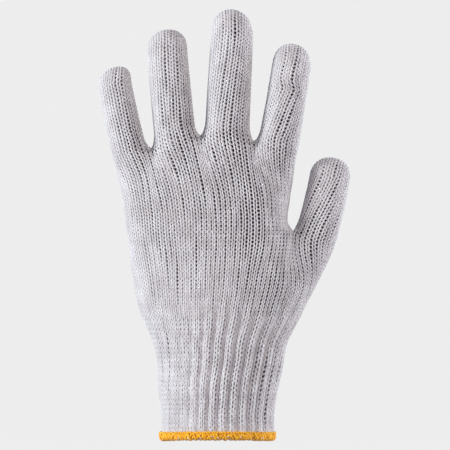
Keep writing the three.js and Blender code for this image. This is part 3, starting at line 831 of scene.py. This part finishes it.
def lining_piece(cloth, painted_shade, inside):
    """The felted underside of the cloth, which closes the view between the stitches: its outer face painted near
    black as the shade between the stitches, and its pale inner side.
    """
    lining = bmesh.new()
    bmesh.ops.create_grid(lining, x_segments=cloth.wales, y_segments=cloth.courses, size=1)
    lining.verts.ensure_lookup_table()
    flat = np.array([v.co[:2] for v in lining.verts])
    wale = (flat[:, 0] + 1) / 2 * cloth.wales
    course = (flat[:, 1] + 1) / 2 * cloth.courses
    layer = lining.loops.layers.uv.new("UVMap")
    for face in lining.faces:
        for corner in face.loops:
            index = corner.vert.index
            corner[layer].uv = (wale[index], course[index])
    for vert, place in zip(lining.verts, cloth.place(course, wale, np.full(len(flat), LINING_DEPTH))):
        vert.co = place
    bmesh.ops.remove_doubles(lining, verts=lining.verts, dist=WELD)
    piece = object_from(lining, cloth.name + "_inside", painted_shade, inside)
    wall = piece.modifiers.new("wall", "SOLIDIFY")
    wall.thickness = LINING * MM
    wall.offset = -1
    wall.material_offset = wall.material_offset_rim = 1
    return piece


def hem_core(mouth, material):
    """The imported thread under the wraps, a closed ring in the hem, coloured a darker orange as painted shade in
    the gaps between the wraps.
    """
    round_mouth, round_hem = CORE_POINTS
    core = bmesh.new()
    bmesh.ops.create_grid(core, x_segments=round_mouth, y_segments=round_hem, size=1)
    flat = np.array([v.co[:2] for v in core.verts])
    turn = np.pi * flat[:, 1]
    out = HEM_OUT + (HEM_HALF[0] - CORE_INSET) * np.cos(turn)
    up = HEM_UP + (HEM_HALF[1] - CORE_INSET) * np.sin(turn)
    for vert, place in zip(core.verts, mouth.place((flat[:, 0] + 1) / 2, out, up)):
        vert.co = place
    bmesh.ops.remove_doubles(core, verts=core.verts, dist=WELD)
    bmesh.ops.recalc_face_normals(core, faces=core.faces)
    return object_from(core, "overlock_hem_core", material)


# The glove.


spans = [finger["width"] for finger in FINGERS]
knuckle_span = sum(spans) + 3 * CROTCH_GAP
cuff_end, heel_end, palm_end = end_of(**CUFF), end_of(**HEEL), end_of(**PALM)
knuckle_end = end_of(knuckle_span, KNUCKLE_SHIFT, KNUCKLE_DEPTH)

line = []
for i, share in enumerate(KNUCKLE_LINE):
    x = knuckle_end["left"] + sum(spans[:i]) + CROTCH_GAP * i
    x -= CROTCH_GAP / 2 * ((i > 0) + (i == len(spans)))
    line.append(np.array([x, 0, KNUCKLE_LEVEL + share * KNUCKLE_ARCH]))
fingers = []
for i, row in enumerate(FINGERS):
    flare_left = CROTCH_GAP / 2 if i > 0 else 0
    flare_right = CROTCH_GAP / 2 if i < len(FINGERS) - 1 else 0
    fingers.append(Digit(row, line[i], line[i + 1], flare_left, flare_right, 0))
thumb_start = np.array([palm_end["right"], 0, THUMB_LEVEL])
thumb_lean = np.radians(THUMB["lean"])
thumb_end = thumb_start + (THUMB["width"] + THUMB_FLARE) * np.array([np.cos(thumb_lean), 0, -np.sin(thumb_lean)])
thumb = Digit(THUMB, thumb_start, thumb_end, THUMB_FLARE, 0, THUMB_SET)

roots = [digit.section(0).ring(digit.columns) for digit in fingers]
for left, right in zip(roots, roots[1:]):
    meet(left, right)
knuckle_ring = side_by_side(roots)
palm_foot = hand_section(PALM_ROWS, 0, palm_end, knuckle_end, HAND_POWER).ring(len(knuckle_ring))
palm_foot = palm_foot + UP * THUMB_LEVEL
thumb_root = thumb.section(0).ring(thumb.columns)
meet(palm_foot, thumb_root)
heel_ring = side_by_side([palm_foot, thumb_root])

digits = zip([*fingers, thumb], [*roots, thumb_root])
digit_rows = {digit.name: digit_cloth(digit, root) for digit, root in digits}
palm_rows = hand_cloth(
    PALM_ROWS, palm_end, knuckle_end, THUMB_LEVEL, KNUCKLE_FADE, knuckle_ring,
    lambda at: HAND_POWER, round(PALM_HEIGHT / COURSE),
)
heel_rows = hand_cloth(
    HEEL_ROWS, heel_end, {**palm_end, "right": thumb_end[0]}, CUFF_HEIGHT, THUMB_FADE, heel_ring,
    lambda at: mix(CUFF_POWER, HAND_POWER, at), round(HEEL_HEIGHT / COURSE),
)
cuff_rows = cuff_cloth(cuff_end, heel_end, len(heel_ring), round(CUFF_HEIGHT / CUFF_COURSE))
first = 0
for digit in fingers:
    ease_join(palm_rows, digit_rows[digit.name], first)
    first += digit.wales
ease_join(heel_rows, palm_rows, 0)
ease_join(heel_rows, digit_rows["thumb"], len(knuckle_ring) // 2 - 1)

cloths = [Cloth(name, rows, digit_drift(name), closed=True) for name, rows in digit_rows.items()]
cloths += [
    Cloth("palm", palm_rows, palm_drift),
    Cloth("heel", heel_rows, heel_drift, HEEL_ROWS),
    Cloth("rib_cuff", cuff_rows, cuff_drift, CUFF_ROWS),
]

undyed = ("#C2BEC1", "#CDCACD", "#D7D5D8")
cotton = spun_cotton("spun_cotton_yarn", *undyed)
rib_cotton = spun_cotton("spun_cotton_rib_yarn", *undyed)
# Painted shade: the lining's outer face, seen between the stitches, is coloured near black for the shade that falls
# there.
painted_shade_lining = spun_cotton("painted_shade_in_stitch_gaps", "#2C2428", "#362D31", "#40373B")
felted_inside = purl_side("felted_cotton_purl_side", "#C0BBBE", "#CECACC", "#D8D5D7")
thread = bulked_polyester("bulked_polyester_thread", "#DE9808", "#F4B012", "#FBC230")
# Painted shade: the hem's core, seen in the gaps between the wraps, is a darker orange than the thread for the
# shade there.
painted_shade_thread = bulked_polyester("polyester_thread_in_painted_shade", "#8A5410", "#A86A12", "#C07C18")

for cloth in cloths:
    ribbed = cloth.name == "rib_cuff"
    thickness, yarn, slot = (RIB_YARN, rib_cotton, "rib_knit") if ribbed else (YARN, cotton, "cotton_knit")
    knit = yarn_piece(cloth.name + "_knit", knit_courses(cloth), thickness, True, yarn, cloth.wales)
    finished(knit, slot, cloth.name)
    finished(lining_piece(cloth, painted_shade_lining, felted_inside), slot)

mouth = Mouth(hand_section(CUFF_ROWS, 0, cuff_end, heel_end, CUFF_POWER).grown(-CUFF_INSET))
wound = [*(hem_wraps(mouth, *each) for each in HEM_PASSES), hem_chain(mouth)]
finished(yarn_piece("overlock_hem_wraps", wound, HEM_THREAD, True, thread), "hem_thread", "overlock_hem")
finished(hem_core(mouth, painted_shade_thread), "hem_thread")
tufts = [tuft(mouth, mouth.share_at(x), chance.uniform(*FLECK_HEIGHTS)) for x in FLECKS]
back_shares = chance.uniform(0.5, 1, BACK_FLECKS)
tufts += [tuft(mouth, share, chance.uniform(*BACK_FLECK_HEIGHTS)) for share in back_shares]
finished(yarn_piece("overlock_hem_tufts", tufts, TUFT_YARN, False, cotton), "cotton_knit")


# The studio, in metres and watts.

PAPER_PROFILE = ((0, -0.06), (4.6, -0.06), (4.9, 0), (5.1, 0.15), (5.2, 0.4), (5.2, 5))
LIT_POINT = Vector((0, 0, 0.12))  # in the glove's middle, where every softbox is aimed
# Name, place, size, power and colour.
SOFTBOXES = (
    ("key_light", (-1.67, -0.6, 0.4), (0.4, 0.5), 34.5, "#F8FFFF"),
    ("fill_light", (0.8, -1.55, 0.6), (0.4, 0.4), 11.5, "#FFF4E8"),
    ("rim_light", (1.77, 0.1, 0.37), (0.8, 0.8), 21, "#EEF9FF"),
)
CAMERA_AWAY = 4
SENSOR = 36  # millimetres
PIXELS = 450  # the photograph's width
PIXEL = 0.5807  # millimetres of the glove's plane in a pixel of the photograph
VIEW_MIDDLE = (4.36, 125.1)  # the point of that plane, in millimetres, in the middle of the picture


def studio_floor():
    """A round sweep of pale matt paper: floor, curve and wall in one, wide enough for a camera on any side."""
    sweep = bmesh.new()
    points = [sweep.verts.new((x, 0, z)) for x, z in PAPER_PROFILE]
    edges = [sweep.edges.new(pair) for pair in zip(points, points[1:])]
    bmesh.ops.spin(
        sweep, geom=[*points, *edges], cent=(0, 0, 0), axis=(0, 0, 1), dvec=(0, 0, 0),
        angle=2 * np.pi, steps=64, use_merge=True,
    )
    bmesh.ops.remove_doubles(sweep, verts=sweep.verts, dist=0.001)
    bmesh.ops.recalc_face_normals(sweep, faces=sweep.faces)
    material, tree = new_material("studio_paper")
    paper = {
        "Base Color": linear("#383838"),
        "Roughness": 1,
        "Specular IOR Level": 0,
        "Emission Color": linear("#EDEDED"),
        "Emission Strength": 0.98,
    }
    fill(tree.nodes["Principled BSDF"], paper)
    floor = object_from(sweep, "studio_floor", material)
    bpy.context.scene.collection.objects.link(floor)
    # The paper is there for the camera alone: it throws no light on the glove and keeps none from it.
    floor.visible_diffuse = floor.visible_shadow = False


def softbox(name, place, size, power, colour):
    lamp = bpy.data.lights.new(name, "AREA")
    lamp.shape = "RECTANGLE"
    lamp.size, lamp.size_y = size
    lamp.energy = power
    lamp.color = linear(colour)[:3]
    box = bpy.data.objects.new(name, lamp)
    box.location = place
    box.rotation_euler = (LIT_POINT - Vector(place)).to_track_quat("-Z", "Y").to_euler()
    bpy.context.scene.collection.objects.link(box)


def studio_air():
    world = bpy.data.worlds.new("studio_air")
    world.use_nodes = True
    fill(world.node_tree.nodes["Background"], {"Color": linear("#F4F1FF"), "Strength": 0.45})
    bpy.context.scene.world = world
    bpy.context.scene.view_settings.view_transform = "Standard"


def photograph():
    """The photograph's view: straight from the front, with 261 mm of the glove's plane across it."""
    lens = bpy.data.cameras.new("camera")
    lens.sensor_width = SENSOR
    lens.lens = SENSOR * CAMERA_AWAY / (PIXELS * PIXEL * MM)
    lens.clip_end = 50
    camera = bpy.data.objects.new("camera", lens)
    camera.location = (VIEW_MIDDLE[0] * MM, -CAMERA_AWAY, VIEW_MIDDLE[1] * MM)
    camera.rotation_euler = (np.pi / 2, 0, 0)
    bpy.context.scene.collection.objects.link(camera)
    bpy.context.scene.camera = camera


studio_floor()
for lamp in SOFTBOXES:
    softbox(*lamp)
studio_air()
photograph()
